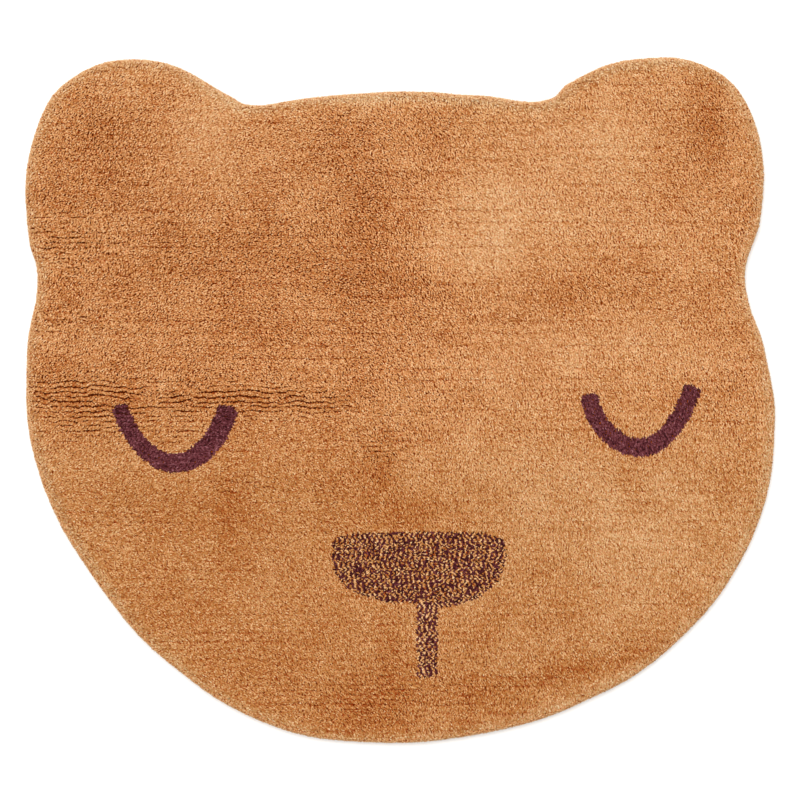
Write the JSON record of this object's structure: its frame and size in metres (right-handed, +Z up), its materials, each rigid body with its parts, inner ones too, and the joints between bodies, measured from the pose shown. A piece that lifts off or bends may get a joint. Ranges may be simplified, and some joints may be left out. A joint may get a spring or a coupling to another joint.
{
  "type": "animal shaped kids rug",
  "caption": "Flat cut-pile rug for a child's room in the outline of an animal's head with round ears, with closed eyes and a nose let into the pile; it lies on a floor to sit or play on.",
  "frame": {"origin": "On the floor plane under the middle of the rug's bounding box; the underside lies at z = 0.", "axes": "+X runs along the rug's width, from the left eye to the right eye as seen from above. +Y runs up the face, from the chin to the ears. +Z points up out of the pile and is the thin direction."},
  "size_m": [1.0996, 1.0064, 0.015],
  "materials": {
    "camel_pile": "matt cut cotton pile, camel brown",
    "plum_pile": "matt cut cotton pile, dark plum",
    "marled_pile": "matt cut cotton pile, plum and camel yarns mixed"
  },
  "bodies": {
    "root": {"rug_body": "camel_pile", "eye_left": "plum_pile", "eye_right": "plum_pile", "nose": "marled_pile"}
  },
  "joints": []
}
